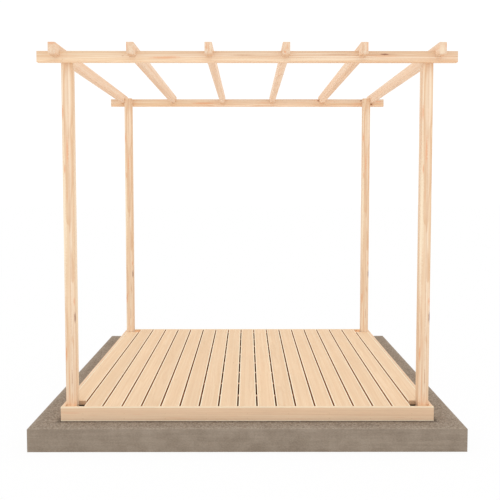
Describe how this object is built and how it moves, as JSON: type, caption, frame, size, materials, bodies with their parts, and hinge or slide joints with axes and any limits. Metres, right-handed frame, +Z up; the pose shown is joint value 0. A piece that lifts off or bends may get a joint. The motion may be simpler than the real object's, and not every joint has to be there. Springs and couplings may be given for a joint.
{
  "type": "wooden pergola",
  "caption": "Square open wooden pergola: four corner posts, two beams and lapped rafters over a boarded deck with fascia boards, standing on a plain slab.",
  "frame": {"origin": "middle of the slab's underside, at floor level", "axes": "+X to the right along the beams, +Y from front to back along the rafters, +Z up"},
  "size_m": [2.79, 2.695, 2.581],
  "materials": {
    "slab_concrete": "rough cast, fine granular top",
    "pine_fascia": "planed, unpainted",
    "pine_joists": "sawn, unpainted",
    "pine_deck": "planed, unpainted",
    "pine_posts": "planed, unpainted",
    "pine_roof": "planed, unpainted"
  },
  "bodies": {
    "root": {"base_slab": "slab_concrete", "front_fascia": "pine_fascia", "back_fascia": "pine_fascia", "left_fascia": "pine_fascia", "right_fascia": "pine_fascia", "joist_1": "pine_joists", "joist_2": "pine_joists", "joist_3": "pine_joists", "joist_4": "pine_joists", "joist_5": "pine_joists", "joist_6": "pine_joists", "joist_7": "pine_joists", "joist_8": "pine_joists", "joist_9": "pine_joists", "deck_board_01": "pine_deck", "deck_board_02": "pine_deck", "deck_board_03": "pine_deck", "deck_board_04": "pine_deck", "deck_board_05": "pine_deck", "deck_board_06": "pine_deck", "deck_board_07": "pine_deck", "deck_board_08": "pine_deck", "deck_board_09": "pine_deck", "deck_board_10": "pine_deck", "deck_board_11": "pine_deck", "deck_board_12": "pine_deck", "deck_board_13": "pine_deck", "deck_board_14": "pine_deck", "deck_board_15": "pine_deck", "deck_board_16": "pine_deck", "deck_board_17": "pine_deck", "deck_board_18": "pine_deck", "deck_board_19": "pine_deck", "front_left_post": "pine_posts", "front_right_post": "pine_posts", "back_left_post": "pine_posts", "back_right_post": "pine_posts", "front_beam": "pine_roof", "back_beam": "pine_roof", "rafter_1": "pine_roof", "rafter_2": "pine_roof", "rafter_3": "pine_roof", "rafter_4": "pine_roof", "rafter_5": "pine_roof", "rafter_6": "pine_roof"}
  },
  "joints": []
}
